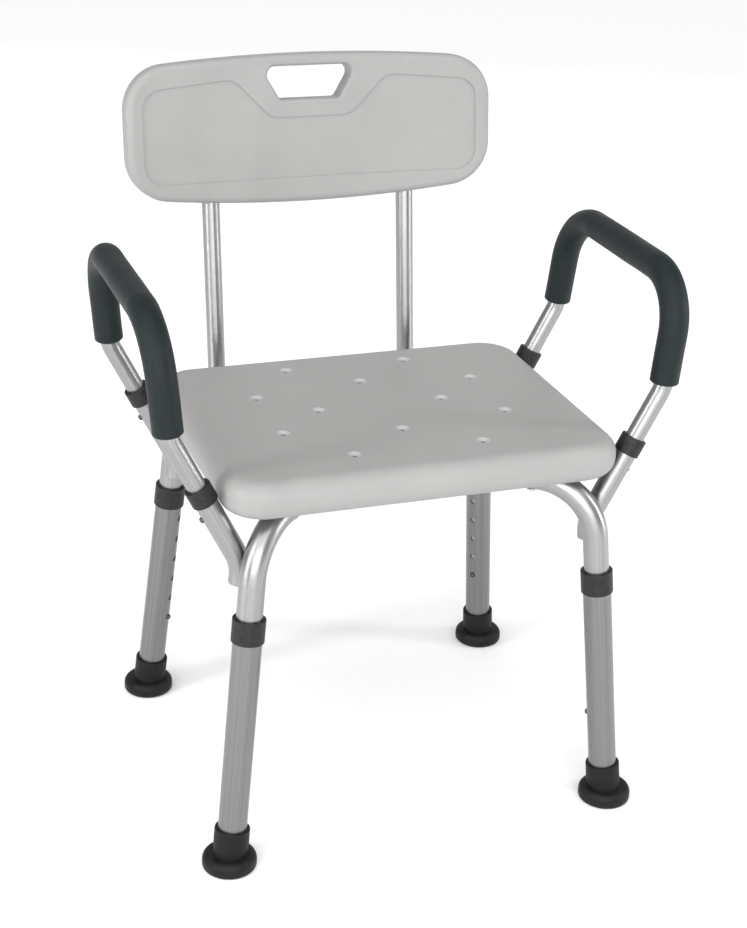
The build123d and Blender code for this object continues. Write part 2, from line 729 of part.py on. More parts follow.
def leaf_spring(spot, outward, along, slider_radius, bore_radius):
    """V-shaped leaf spring inside a tube, held in as when its button is pressed."""
    tip = slider_radius + pressed_foot
    upper = tip - leaf_rise
    half_width = bore_radius * leaf_width_share
    lower = sqrt((bore_radius - leaf_margin) ** 2 - half_width**2)
    inner_upper = upper - leaf_thickness
    inner_lower = lower - leaf_thickness
    with BuildSketch(Plane(origin=spot, x_dir=outward, z_dir=outward.cross(along))) as profile:
        with BuildLine():
            Polyline(
                (upper, -leaf_tail), (upper, leaf_tail), (leaf_thickness, leaf_apex),
                (-leaf_thickness, leaf_apex), (-lower, leaf_tail), (-lower, -leaf_tail),
                (-inner_lower, -leaf_tail), (-inner_lower, leaf_tail), (0, leaf_apex - 2 * leaf_thickness),
                (inner_upper, leaf_tail), (inner_upper, -leaf_tail), close=True,
            )
        make_face()
    extrude(profile.sketch, amount=half_width, both=True)
    drill(spot + outward * inner_upper, outward, button_radius - button_hole_play, tip - inner_upper, Mode.ADD)


for corner_name, (side_x, side_y) in corners.items():
    leg_spot = leg_plane(side_x, side_y, leg_button_height).origin
    save(snap_button(leg_spot, leg_inward(side_x, side_y), frame_tube_radius, leg_tube_radius),
         f"leg_button_{corner_name}")
    arm_spot = socket_corner(side_x, side_y) + socket_up(side_x) * arm_button_reach
    save(snap_button(arm_spot, socket_outward(side_x), arm_tube_radius, socket_radius),
         f"arm_button_{corner_name}")

with BuildPart() as leg_springs:
    for side_x, side_y in corners.values():
        leg_spot = leg_plane(side_x, side_y, leg_button_height).origin
        leaf_spring(leg_spot, leg_inward(side_x, side_y), leg_up(side_x, side_y), frame_tube_radius,
                    frame_bore_radius)
save(leg_springs, "leg_springs")

for side, sign in sides.items():
    with BuildPart() as arm_springs:
        for side_y in (-1, 1):
            arm_spot = socket_corner(sign, side_y) + socket_up(sign) * arm_button_reach
            leaf_spring(arm_spot, socket_outward(sign), socket_up(sign), arm_tube_radius, arm_bore_radius)
    save(arm_springs, f"arm_springs_{side}")

    rail_spot = Vector(sign * rail_half_spacing, centre_y + rail_button_y, rail_height)
    save(snap_button(rail_spot, Vector(sign, 0, 0), post_tube_radius, rail_radius), f"backrest_button_{side}")

with BuildPart() as backrest_springs:
    for sign in sides.values():
        rail_spot = Vector(sign * rail_half_spacing, centre_y + rail_button_y, rail_height)
        leaf_spring(rail_spot, Vector(sign, 0, 0), Vector(0, 1, 0), post_tube_radius, post_bore_radius)
save(backrest_springs, "backrest_springs")
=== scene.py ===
"""Looks of a shower chair with a backrest and two padded armrests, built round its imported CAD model."""

import json
import math

import bmesh
import bpy
from bpy.props import FloatProperty, FloatVectorProperty, IntProperty, PointerProperty
from mathutils import Matrix, Vector, noise


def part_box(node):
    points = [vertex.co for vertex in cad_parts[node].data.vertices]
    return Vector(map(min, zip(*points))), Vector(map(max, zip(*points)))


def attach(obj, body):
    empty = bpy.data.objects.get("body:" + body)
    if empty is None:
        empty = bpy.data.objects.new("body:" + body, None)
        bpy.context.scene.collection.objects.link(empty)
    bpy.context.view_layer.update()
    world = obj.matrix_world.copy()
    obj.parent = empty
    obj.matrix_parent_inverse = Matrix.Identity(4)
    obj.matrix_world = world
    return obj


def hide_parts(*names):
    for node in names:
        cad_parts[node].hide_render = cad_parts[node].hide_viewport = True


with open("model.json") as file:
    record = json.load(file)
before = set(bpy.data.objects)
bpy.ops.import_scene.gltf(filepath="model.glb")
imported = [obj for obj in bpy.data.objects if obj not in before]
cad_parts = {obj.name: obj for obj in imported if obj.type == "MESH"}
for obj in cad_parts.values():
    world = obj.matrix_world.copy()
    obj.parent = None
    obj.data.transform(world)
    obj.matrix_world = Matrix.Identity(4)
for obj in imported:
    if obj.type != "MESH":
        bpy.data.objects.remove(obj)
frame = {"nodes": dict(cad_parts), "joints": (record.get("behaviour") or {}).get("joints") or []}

bl_info = {
    "name": "Shower Chair Builder",
    "version": (1, 0, 0),
    "blender": (4, 5, 0),
    "location": "3D View > Sidebar > Shower Chair",
    "description": "Finishes the parts of a shower chair and sets up its studio",
    "category": "Object",
}

SIDES = {"left": 1, "right": -1}
CORNERS = ("front_left", "front_right", "rear_left", "rear_right")

# Sockets of a colour Mix node.
MIX_FACTOR = 0
MIX_FIRST = 6
MIX_SECOND = 7
MIX_RESULT = 2

# Foam grips: how the creases and the slow swelling are shaped.
CREASE_SHARPNESS = 4
CREASE_SPREAD = 1.5  # how fast creases fade round the tube
BEND_RAMP = 0.5  # how fast creases start along a bend
SWELL_SCALE = 28.0
SWELL_OFFSET = 0.02

# Lights, in metres: where each stands and how wide and tall it is. All face the same point.
LIGHT_TARGET = (0.0, 0.0, 0.35)
OVERHEAD_SPOT = (-0.7, -1.2, 2.6)
OVERHEAD_ANGLE = math.radians(80)
KEY_LIGHT = ((-0.8, -2.7, 1.05), 2.8, 1.5)
LEFT_STRIP = ((-2.3, -0.5, 1.0), 0.35, 1.8)
RIGHT_STRIP = ((2.3, -0.9, 1.0), 0.35, 1.8)
BACK_LIGHT = ((1.2, 2.9, 1.3), 2.6, 1.4)
HORIZON_WHITE = 0.99


# ---- Settings ----


def colour_setting(name, description, default):
    return FloatVectorProperty(name=name, description=description, default=default,
                               subtype="COLOR", size=3, min=0.0, max=1.0)


def share_setting(name, description, default):
    return FloatProperty(name=name, description=description, default=default,
                         subtype="FACTOR", min=0.0, max=1.0)


def length_setting(name, description, default):
    return FloatProperty(name=name, description=description, default=default,
                         subtype="DISTANCE", unit="LENGTH", min=0.0, precision=5)


class ShellSettings(bpy.types.PropertyGroup):
    """Blow-moulded plastic of the seat and the backrest."""

    colour: colour_setting("Plastic colour", "Light grey of the moulded shells", (0.290, 0.287, 0.283))
    roughness: share_setting("Roughness", "How matt the shells are", 0.47)
    grain_size: length_setting("Grain size", "Spacing of the mould's etched grain", 0.0011)
    grain_depth: length_setting("Grain depth", "Height of the etched grain", 0.00006)
    # Painted highlight: how much lighter than the rest of the shell the walls of the seat's drain dimples are
    # painted.
    dimple_highlight: FloatProperty(name="Dimple highlight", default=1.34, min=1.0, max=2.0,
                                   description="How much a painted highlight lightens the walls of a drain dimple")
    sink_depth: length_setting("Sink depth", "Slow waves that cooling leaves in a moulded face", 0.00035)


class TubeSettings(bpy.types.PropertyGroup):
    """Satin anodised aluminium tubes."""

    colour: colour_setting("Tube colour", "Satin anodised aluminium", (0.365, 0.365, 0.37))
    # Painted shade: the legs take a darker copy of the tube aluminium, standing in for the darker
    # surroundings that the legs reflect.
    shaded_leg_colour: colour_setting("Shaded leg colour", "Tube aluminium darkened for the outer legs as painted shade", (0.24, 0.24, 0.242))
    roughness: share_setting("Roughness", "How matt the anodised skin is", 0.29)
    streaks: FloatProperty(name="Streaks", description="Drawing lines in one radian round a tube",
                           default=34.0, min=1.0)
    streak_depth: length_setting("Streak depth", "Height of the drawing lines", 0.00003)
    weld_ripple: length_setting("Weld ripple", "Half the spacing of the ripples in a weld bead", 0.0014)


class GripSettings(bpy.types.PropertyGroup):
    """Closed-cell foam grips on the armrests, measured from the floor and the chair's middle."""

    colour: colour_setting("Foam colour", "Very dark green grey foam", (0.0056, 0.0104, 0.0118))
    roughness: share_setting("Roughness", "How matt the foam's skin is", 0.55)
    radius: length_setting("Radius", "Outer radius of the foam", 0.0145)
    bore: length_setting("Bore", "Radius of the foam's hole", 0.0096)
    corner_radius: length_setting("Corner radius", "Bend radius at each top corner", 0.055)
    corner_half_width: length_setting("Corner half width", "From the middle to a top corner", 0.260)
    corner_half_depth: length_setting("Corner half depth", "Along the chair, to a top corner", 0.1215)
    corner_height: length_setting("Corner height", "Height of the top corners", 0.5495)
    end_half_width: length_setting("End half width", "From the middle to a lower end", 0.25024)
    end_half_depth: length_setting("End half depth", "Along the chair, to a lower end", 0.12485)
    end_height: length_setting("End height", "Height of the foam's lower ends", 0.447)
    end_round: length_setting("End round", "Softening of the cut ends", 0.0016)
    crease_depth: length_setting("Crease depth", "Creases pressed into the inside of a bend", 0.00045)
    crease_spacing: length_setting("Crease spacing", "Distance between two creases", 0.0065)
    unevenness: length_setting("Unevenness", "Slow swelling of the foam along its length", 0.00025)
    around: IntProperty(name="Points around", description="Points in one ring", default=72, min=12)
    step: length_setting("Step", "Distance between two rings", 0.0016)


class TrimSettings(bpy.types.PropertyGroup):
    """Collars, feet and hardware."""

    collar_colour: colour_setting("Collar colour", "Dark grey nylon", (0.0085, 0.0085, 0.0093))
    foot_colour: colour_setting("Foot colour", "Black rubber", (0.0066, 0.0061, 0.0063))
    steel_colour: colour_setting("Steel colour", "Zinc plated fasteners", (0.56, 0.56, 0.58))
    button_colour: colour_setting("Button colour", "Darkened steel of the snap buttons", (0.09, 0.09, 0.095))
    spring_colour: colour_setting("Spring colour", "Blued spring strip", (0.22, 0.23, 0.26))


class StudioSettings(bpy.types.PropertyGroup):
    """Floor, lights and camera."""

    floor_colour: colour_setting("Floor colour", "Pale floor", (0.93, 0.93, 0.93))
    floor_size: length_setting("Floor size", "Side of the square floor", 24.0)
    room_light: FloatProperty(name="Room light", description="Brightness of the room", default=0.42, min=0.0)
    overhead: FloatProperty(name="Overhead light", description="Strength of the wide overhead light",
                            default=2.2, min=0.0)
    key_power: FloatProperty(name="Key light", description="Power of the large front light",
                             default=52.0, min=0.0, unit="POWER")
    rim_power: FloatProperty(name="Rim light", description="Power of each side strip",
                             default=24.0, min=0.0, unit="POWER")
    back_power: FloatProperty(name="Back light", description="Power of the soft light behind the chair",
                              default=7.0, min=0.0, unit="POWER")
    azimuth: FloatProperty(name="Azimuth", description="Camera's turn round the chair", subtype="ANGLE",
                           unit="ROTATION", default=math.radians(-20.626))
    elevation: FloatProperty(name="Elevation", description="Camera's height angle", subtype="ANGLE",
                             unit="ROTATION", default=math.radians(24.473))
    roll: FloatProperty(name="Roll", description="Camera's tilt about its own axis", subtype="ANGLE",
                        unit="ROTATION", default=math.radians(2.352))
    distance: length_setting("Distance", "From the camera to its target", 1.8808)
    target: FloatVectorProperty(name="Target", description="Point that the camera looks at",
                                subtype="XYZ", unit="LENGTH", size=3, default=(0.0, -0.0290, 0.3271))
    lens: FloatProperty(name="Lens", description="Focal length in millimetres", default=70.52, min=1.0)


# ---- Node tools ----


def add(tree, kind, inputs=None, **settings):
    """A new node, with each input set to a value or linked to a socket."""
    made = tree.nodes.new(kind)
    for key, value in settings.items():
        setattr(made, key, value)
    for key, value in (inputs or {}).items():
        if isinstance(value, bpy.types.NodeSocket):
            tree.links.new(value, made.inputs[key])
        else:
            made.inputs[key].default_value = value
    return made


def calculate(tree, operation, *values):
    return add(tree, "ShaderNodeMath", dict(enumerate(values)), operation=operation).outputs[0]


def rescale(tree, value, low, high, new_low=0.0, new_high=1.0):
    made = add(tree, "ShaderNodeMapRange", {"Value": value, "From Min": low, "From Max": high,
                                            "To Min": new_low, "To Max": new_high})
    return made.outputs["Result"]


def vary(tree, mask, low, high):
    """A value between low, where the mask is 0, and high, where it is 1."""
    return rescale(tree, mask, 0.0, 1.0, low, high)


def mix_colours(tree, mask, first, second):
    sockets = {MIX_FACTOR: mask, MIX_FIRST: first, MIX_SECOND: second}
    return add(tree, "ShaderNodeMix", sockets, data_type="RGBA").outputs[MIX_RESULT]


def shade(colour, factor):
    return (colour[0] * factor, colour[1] * factor, colour[2] * factor, 1.0)


def new_group(name, inputs, outputs):
    """An empty shader node group with its named inputs and outputs."""
    group = bpy.data.node_groups.new(name, "ShaderNodeTree")
    for label, kind, default in inputs:
        socket = group.interface.new_socket(name=label, in_out="INPUT", socket_type=kind)
        socket.default_value = default
    for label in outputs:
        group.interface.new_socket(name=label, in_out="OUTPUT", socket_type="NodeSocketFloat")
    return group, group.nodes.new("NodeGroupInput").outputs, group.nodes.new("NodeGroupOutput").inputs


def place(tree, name, **inputs):
    """One of the shared groups inside a material. Underscores in an input's name stand for spaces."""
    made = tree.nodes.new("ShaderNodeGroup")
    made.node_tree = bpy.data.node_groups[name]
    for key, value in inputs.items():
        made.inputs[key.replace("_", " ")].default_value = value
    return made.outputs


def tones(tree, mask, colour, dark, light):
    """A colour between dark times itself, where the mask is 0, and light times itself, where it is 1."""
    return mix_colours(tree, mask, shade(colour, dark), shade(colour, light))


def wear(tree, base, mask, share, worn):
    """The base colour, taken a share of the way to a worn one where the mask is 1."""
    return mix_colours(tree, calculate(tree, "MULTIPLY", mask, share), base, worn)


# ---- Shared effects ----


def make_grain_group():
    """Fine etched grain of a moulded surface: rounded cells broken up by noise."""
    group, given, result = new_group(
        "Moulded Grain",
        [("Size", "NodeSocketFloat", 0.001), ("Softness", "NodeSocketFloat", 0.5)],
        ["Height", "Mottle"],
    )
    where = add(group, "ShaderNodeTexCoord").outputs["Object"]
    scale = calculate(group, "DIVIDE", 1.0, given["Size"])
    cells = add(group, "ShaderNodeTexVoronoi", {"Vector": where, "Scale": scale}, feature="SMOOTH_F1")
    fine = add(group, "ShaderNodeTexNoise",
               {"Vector": where, "Scale": scale, "Detail": 3.0, "Roughness": 0.6})
    rounded = calculate(group, "MULTIPLY", cells.outputs["Distance"], given["Softness"])
    height = calculate(group, "ADD", rounded, fine.outputs["Fac"])
    group.links.new(height, result["Height"])
    group.links.new(rescale(group, fine.outputs["Fac"], low=0.35, high=0.65), result["Mottle"])


def make_streak_group():
    """Lengthwise drawing lines on a tube. Across is square to the tube everywhere along it."""
    group, given, result = new_group(
        "Drawn Streaks",
        [("Across", "NodeSocketVector", (1.0, 0.0, 0.0)), ("Streaks", "NodeSocketFloat", 30.0),
         ("Run", "NodeSocketFloat", 0.12)],
        ["Height", "Tone", "Band"],
    )
    coordinates = add(group, "ShaderNodeTexCoord").outputs
    facing = add(group, "ShaderNodeVectorMath", {0: coordinates["Normal"], 1: given["Across"]},
                 operation="DOT_PRODUCT").outputs["Value"]
    angle = calculate(group, "ARCSINE", facing)
    reach = add(group, "ShaderNodeVectorMath", {0: coordinates["Object"]}, operation="LENGTH")
    along = calculate(group, "DIVIDE", reach.outputs["Value"], given["Run"])
    layers = (("Height", 1.0, 4.0), ("Tone", 0.32, 3.0), ("Band", 0.07, 2.0))
    for label, share, detail in layers:
        spread = calculate(group, "MULTIPLY", calculate(group, "MULTIPLY", angle, given["Streaks"]), share)
        where = add(group, "ShaderNodeCombineXYZ", {0: spread, 1: calculate(group, "MULTIPLY", along, share)})
        lines = add(group, "ShaderNodeTexNoise", {"Vector": where.outputs[0], "Scale": 1.0, "Detail": detail,
                                                  "Roughness": 0.62})
        group.links.new(rescale(group, lines.outputs["Fac"], low=0.3, high=0.7), result[label])


def make_handling_group():
    """Soft patches where hands and water have dulled or polished a surface."""
    group, given, result = new_group(
        "Handling Patches",
        [("Size", "NodeSocketFloat", 0.05), ("Scratches", "NodeSocketFloat", 0.4)],
        ["Patches", "Scratches"],
    )
    where = add(group, "ShaderNodeTexCoord").outputs["Object"]
    scale = calculate(group, "DIVIDE", 1.0, given["Size"])
    patches = add(group, "ShaderNodeTexNoise", {"Vector": where, "Scale": scale, "Detail": 4.0,
                                                "Roughness": 0.55, "Distortion": 0.6})
    group.links.new(rescale(group, patches.outputs["Fac"], low=0.36, high=0.66), result["Patches"])
    bent = add(group, "ShaderNodeTexNoise", {"Vector": where, "Scale": scale, "Detail": 2.0})
    turned = add(group, "ShaderNodeVectorMath", {0: bent.outputs["Color"], 3: 0.7}, operation="SCALE")
    moved = add(group, "ShaderNodeVectorMath", {0: where, 1: turned.outputs[0]}, operation="ADD")
    hairs = add(group, "ShaderNodeTexNoise", {"Vector": moved.outputs[0], "Scale": 22.0, "Detail": 7.0,
                                              "Roughness": 0.7})
    ridge = calculate(group, "ABSOLUTE", calculate(group, "SUBTRACT", hairs.outputs["Fac"], 0.5))
    thin = rescale(group, ridge, low=0.0, high=0.012, new_low=1.0, new_high=0.0)
    group.links.new(calculate(group, "MULTIPLY", thin, given["Scratches"]), result["Scratches"])


def make_edge_group():
    """Where a sharp or small-radius edge has been rubbed."""
    group, given, result = new_group(
        "Rubbed Edges",
        [("Radius", "NodeSocketFloat", 0.0012), ("Patch size", "NodeSocketFloat", 0.01)],
        ["Mask"],
    )
    coordinates = add(group, "ShaderNodeTexCoord").outputs
    rounded = add(group, "ShaderNodeBevel", {"Radius": given["Radius"]}, samples=4).outputs[0]
    plain = add(group, "ShaderNodeNewGeometry").outputs["Normal"]
    turn = add(group, "ShaderNodeVectorMath", {0: rounded, 1: plain}, operation="DOT_PRODUCT")
    starts, complete = 0.995, 0.90  # agreement of the rounded and the plain normal
    edge = rescale(group, turn.outputs["Value"], starts, complete)
    broken = add(group, "ShaderNodeTexNoise", {"Vector": coordinates["Object"],
                                               "Scale": calculate(group, "DIVIDE", 1.0, given["Patch size"]),
                                               "Detail": 3.0})
    gaps = rescale(group, broken.outputs["Fac"], low=0.35, high=0.6)
    group.links.new(calculate(group, "MULTIPLY", edge, gaps), result["Mask"])


def make_dust_group():
    """Fine dust and dried water marks that settle on faces that look up."""
    group, given, result = new_group("Settled Dust", [("Amount", "NodeSocketFloat", 0.3)], ["Mask"])
    coordinates = add(group, "ShaderNodeTexCoord").outputs
    upward = add(group, "ShaderNodeSeparateXYZ", {0: coordinates["Normal"]}).outputs["Z"]
    specks = add(group, "ShaderNodeTexNoise", {"Vector": coordinates["Object"], "Scale": 70.0, "Detail": 6.0,
                                               "Roughness": 0.75})
    lying = calculate(group, "MULTIPLY", rescale(group, upward, low=0.2, high=0.95),
                      rescale(group, specks.outputs["Fac"], low=0.4, high=0.75))
    group.links.new(calculate(group, "MULTIPLY", lying, given["Amount"]), result["Mask"])


GROUP_MAKERS = {
    "Moulded Grain": make_grain_group,
    "Drawn Streaks": make_streak_group,
    "Handling Patches": make_handling_group,
    "Rubbed Edges": make_edge_group,
    "Settled Dust": make_dust_group,
}


def need_groups():
    for name, maker in GROUP_MAKERS.items():
        if name not in bpy.data.node_groups:
            maker()


# ---- Materials ----


def new_material(name):
    """A material's node tree and its shader, with nothing linked yet."""
    need_groups()
    made = bpy.data.materials.new(name)
    made.use_nodes = True
    return made, made.node_tree, made.node_tree.nodes["Principled BSDF"]


def set_bump(tree, shader, height, distance, strength):
    bump = add(tree, "ShaderNodeBump", {"Height": height, "Distance": distance, "Strength": strength})
    tree.links.new(bump.outputs["Normal"], shader.inputs["Normal"])


def dimple_walls(tree):
    """The seat's drain dimples, found by their height and slope inside its flat top, as the mask of their
    painted highlight.
    """
    low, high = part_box("seat")
    rim = 0.03  # the seat's rounded edge, which is left out
    depth = 0.003  # below the seat's top
    flat = 0.992  # upward part of a normal, above which a face counts as flat
    coordinates = add(tree, "ShaderNodeTexCoord").outputs
    spot = add(tree, "ShaderNodeSeparateXYZ", {0: coordinates["Object"]}).outputs
    slope = add(tree, "ShaderNodeSeparateXYZ", {0: coordinates["Normal"]}).outputs["Z"]
    mask = calculate(tree, "LESS_THAN", slope, flat)
    limits = {
        "X": (low.x + rim, high.x - rim),
        "Y": (low.y + rim, high.y - rim),
        "Z": (high.z - depth, high.z),
    }
    for axis, (first, last) in limits.items():
        mask = calculate(tree, "MULTIPLY", mask, calculate(tree, "GREATER_THAN", spot[axis], first))
        mask = calculate(tree, "MULTIPLY", mask, calculate(tree, "LESS_THAN", spot[axis], last))
    return mask


def moulded_plastic(settings):
    """Blow-moulded polyethylene: soft, waxy, with etched grain, slow sink waves and a painted highlight on
    the walls of its drain dimples.
    """
    made, tree, shader = new_material("moulded shell plastic")
    grain = place(tree, "Moulded Grain", Size=settings.grain_size, Softness=0.8)
    patches = place(tree, "Handling Patches", Size=0.09, Scratches=0.35)
    edges = place(tree, "Rubbed Edges", Radius=0.0016, Patch_size=0.012)
    dust = place(tree, "Settled Dust", Amount=0.18)
    base = tones(tree, patches["Patches"], settings.colour, dark=0.965, light=1.03)
    base = wear(tree, base, edges["Mask"], share=0.35, worn=shade(settings.colour, 1.18))
    base = mix_colours(tree, dust["Mask"], base, shade(settings.colour, 1.12))
    # Painted highlight: the walls of the drain dimples are painted lighter than the shell.
    base = mix_colours(tree, dimple_walls(tree), base, shade(settings.colour, settings.dimple_highlight))
    tree.links.new(base, shader.inputs["Base Color"])
    rough = vary(tree, patches["Patches"], settings.roughness - 0.05, settings.roughness + 0.06)
    rough = calculate(tree, "ADD", rough, calculate(tree, "MULTIPLY", patches["Scratches"], 0.10))
    tree.links.new(rough, shader.inputs["Roughness"])
    waves = add(tree, "ShaderNodeTexNoise", {"Vector": add(tree, "ShaderNodeTexCoord").outputs["Object"],
                                             "Scale": 16.0, "Detail": 1.0})
    waves = calculate(tree, "MULTIPLY", waves.outputs["Fac"], settings.sink_depth)
    fine = calculate(tree, "MULTIPLY", grain["Height"], settings.grain_depth)
    set_bump(tree, shader, calculate(tree, "ADD", waves, fine), distance=1.0, strength=0.6)
    shader.inputs["Specular IOR Level"].default_value = 0.34
    shader.inputs["Subsurface Weight"].default_value = 0.06
    shader.inputs["Subsurface Radius"].default_value = (0.004, 0.004, 0.0035)
    shader.inputs["Subsurface Scale"].default_value = 1.0
    return made


def drawn_aluminium(settings, name, across, colour):
    """Satin anodised tube with its drawing lines, worn brighter at its cut ends."""
    made, tree, shader = new_material(f"anodised aluminium {name}")
    lines = place(tree, "Drawn Streaks", Across=across, Streaks=settings.streaks, Run=0.12)
    patches = place(tree, "Handling Patches", Size=0.035, Scratches=0.5)
    edges = place(tree, "Rubbed Edges", Radius=0.0007, Patch_size=0.006)
    base = tones(tree, lines["Tone"], colour, dark=0.74, light=1.2)
    base = wear(tree, base, lines["Band"], share=0.5, worn=shade(colour, 0.78))
    base = wear(tree, base, edges["Mask"], share=0.6, worn=shade(colour, 1.5))
    tree.links.new(base, shader.inputs["Base Color"])
    rough = vary(tree, lines["Tone"], settings.roughness - 0.05, settings.roughness + 0.07)
    rough = calculate(tree, "ADD", rough, calculate(tree, "MULTIPLY", patches["Patches"], 0.06))
    rough = calculate(tree, "SUBTRACT", rough, calculate(tree, "MULTIPLY", patches["Scratches"], 0.08))
    tree.links.new(rough, shader.inputs["Roughness"])
    set_bump(tree, shader, lines["Height"], settings.streak_depth, strength=0.55)
    shader.inputs["Metallic"].default_value = 1.0
    return made


def weld_metal(settings):
    """Aluminium weld bead: stacked ripples, brighter and rougher than the tube."""
    made, tree, shader = new_material("aluminium weld")
    where = add(tree, "ShaderNodeTexCoord").outputs["Object"]
    half_repeat = 0.16  # about half of the wave texture's repeat at scale 1, in metres
    ripples = add(tree, "ShaderNodeTexWave", {"Vector": where, "Scale": half_repeat / settings.weld_ripple,
                                              "Distortion": 1.6, "Detail": 1.0},
                  wave_type="BANDS", bands_direction="Z", wave_profile="SIN")
    grain = place(tree, "Moulded Grain", Size=0.0007, Softness=0.4)
    patches = place(tree, "Handling Patches", Size=0.012, Scratches=0.2)
    base = tones(tree, patches["Patches"], settings.colour, dark=0.82, light=1.15)
    tree.links.new(base, shader.inputs["Base Color"])
    rough = vary(tree, grain["Mottle"], settings.roughness + 0.06, settings.roughness + 0.2)
    tree.links.new(rough, shader.inputs["Roughness"])
    height = calculate(tree, "MULTIPLY_ADD", grain["Height"], 0.25, ripples.outputs["Fac"])
    set_bump(tree, shader, height, distance=0.00018, strength=0.8)
    shader.inputs["Metallic"].default_value = 1.0
    return made


def collar_nylon(settings):
    """Dark grey nylon with a coarse spark-eroded texture."""
    made, tree, shader = new_material("collar nylon")
    grain = place(tree, "Moulded Grain", Size=0.0013, Softness=0.6)
    coarse = place(tree, "Moulded Grain", Size=0.0034, Softness=0.3)
    edges = place(tree, "Rubbed Edges", Radius=0.0008, Patch_size=0.004)
    dust = place(tree, "Settled Dust", Amount=0.25)
    colour = settings.collar_colour
    speckle = calculate(tree, "MULTIPLY", coarse["Mottle"], grain["Mottle"])
    base = tones(tree, speckle, colour, dark=0.45, light=2.6)
    base = wear(tree, base, edges["Mask"], share=0.5, worn=shade(colour, 3.0))
    base = mix_colours(tree, dust["Mask"], base, shade(colour, 2.4))
    tree.links.new(base, shader.inputs["Base Color"])
    tree.links.new(vary(tree, grain["Mottle"], low=0.42, high=0.6), shader.inputs["Roughness"])
    set_bump(tree, shader, grain["Height"], distance=0.00009, strength=0.8)
    shader.inputs["Specular IOR Level"].default_value = 0.36
    return made


def foot_rubber(settings):
    """Black moulded rubber, dusty near the floor and dull where it has been handled."""
    made, tree, shader = new_material("foot rubber")
    grain = place(tree, "Moulded Grain", Size=0.0012, Softness=0.5)
    patches = place(tree, "Handling Patches", Size=0.018, Scratches=0.3)
    edges = place(tree, "Rubbed Edges", Radius=0.0015, Patch_size=0.006)
    dust = place(tree, "Settled Dust", Amount=0.35)
    colour = settings.foot_colour
    height = add(tree, "ShaderNodeSeparateXYZ", {0: add(tree, "ShaderNodeTexCoord").outputs["Object"]})
    dusty_height, floor_dust = 0.007, 0.5
    near_floor = rescale(tree, height.outputs["Z"], dusty_height, 0.0, 0.0, floor_dust)
    base = tones(tree, patches["Patches"], colour, dark=0.75, light=1.35)
    base = wear(tree, base, edges["Mask"], share=0.5, worn=shade(colour, 2.3))
    base = mix_colours(tree, calculate(tree, "MAXIMUM", dust["Mask"], near_floor), base, shade(colour, 3.2))
    tree.links.new(base, shader.inputs["Base Color"])
    tree.links.new(vary(tree, patches["Patches"], low=0.46, high=0.62), shader.inputs["Roughness"])
    set_bump(tree, shader, grain["Height"], distance=0.0001, strength=0.7)
    shader.inputs["Specular IOR Level"].default_value = 0.2
    return made


def closed_cell_foam(settings):
    """Extruded closed-cell foam: a smooth skin over fine cells, with open pores at places whose middles are
    darkened with painted shade.
    """
    made, tree, shader = new_material("closed cell foam")
    where = add(tree, "ShaderNodeTexCoord").outputs["Object"]
    skin = place(tree, "Moulded Grain", Size=0.0008, Softness=0.9)
    patches = place(tree, "Handling Patches", Size=0.03, Scratches=0.15)
    dust = place(tree, "Settled Dust", Amount=0.22)
    pores = add(tree, "ShaderNodeTexVoronoi", {"Vector": where, "Scale": 620.0, "Randomness": 1.0})
    pore_middle, pore_rim = 0.12, 0.34
    pit = rescale(tree, pores.outputs["Distance"], pore_middle, pore_rim)
    base = tones(tree, patches["Patches"], settings.colour, dark=0.82, light=1.25)
    # Painted shade: the middle of each pore is darkened, standing in for the shade inside its recess.
    base = mix_colours(tree, pit, shade(settings.colour, 0.55), base)
    base = mix_colours(tree, dust["Mask"], base, shade(settings.colour, 2.6))
    tree.links.new(base, shader.inputs["Base Color"])
    rough = vary(tree, patches["Patches"], settings.roughness - 0.06, settings.roughness + 0.08)
    tree.links.new(rough, shader.inputs["Roughness"])
    height = calculate(tree, "MULTIPLY_ADD", skin["Height"], 0.6, pit)
    set_bump(tree, shader, height, distance=0.00012, strength=0.65)
    shader.inputs["Specular IOR Level"].default_value = 0.24
    shader.inputs["Sheen Weight"].default_value = 0.03
    shader.inputs["Sheen Roughness"].default_value = 0.45
    return made


def plated_metal(name, colour, roughness):
    """Turned or stamped steel with fine tumbling marks."""
    made, tree, shader = new_material(name)
    grain = place(tree, "Moulded Grain", Size=0.0006, Softness=0.3)
    patches = place(tree, "Handling Patches", Size=0.006, Scratches=0.6)
    edges = place(tree, "Rubbed Edges", Radius=0.0005, Patch_size=0.003)
    base = tones(tree, patches["Patches"], colour, dark=0.8, light=1.12)
    base = wear(tree, base, edges["Mask"], share=0.7, worn=shade(colour, 1.6))
    tree.links.new(base, shader.inputs["Base Color"])
    tree.links.new(vary(tree, grain["Mottle"], roughness - 0.07, roughness + 0.1),
                   shader.inputs["Roughness"])
    set_bump(tree, shader, grain["Height"], distance=0.00003, strength=0.6)
    shader.inputs["Metallic"].default_value = 1.0
    return made


def floor_paint(settings):
    """Pale matt floor with a barely visible roller texture."""
    made, tree, shader = new_material("studio floor")
    grain = place(tree, "Moulded Grain", Size=0.02, Softness=0.5)
    colour = settings.floor_colour
    tree.links.new(tones(tree, grain["Mottle"], colour, dark=0.995, light=1.005),
                   shader.inputs["Base Color"])
    shader.inputs["Roughness"].default_value = 0.9
    shader.inputs["Specular IOR Level"].default_value = 0.1
    return made


def coat(material, *names):
    """Gives CAD nodes a material."""
    for name in names:
        mesh = frame["nodes"][name].data
        mesh.materials.clear()
        mesh.materials.append(material)


# ---- Foam grips ----


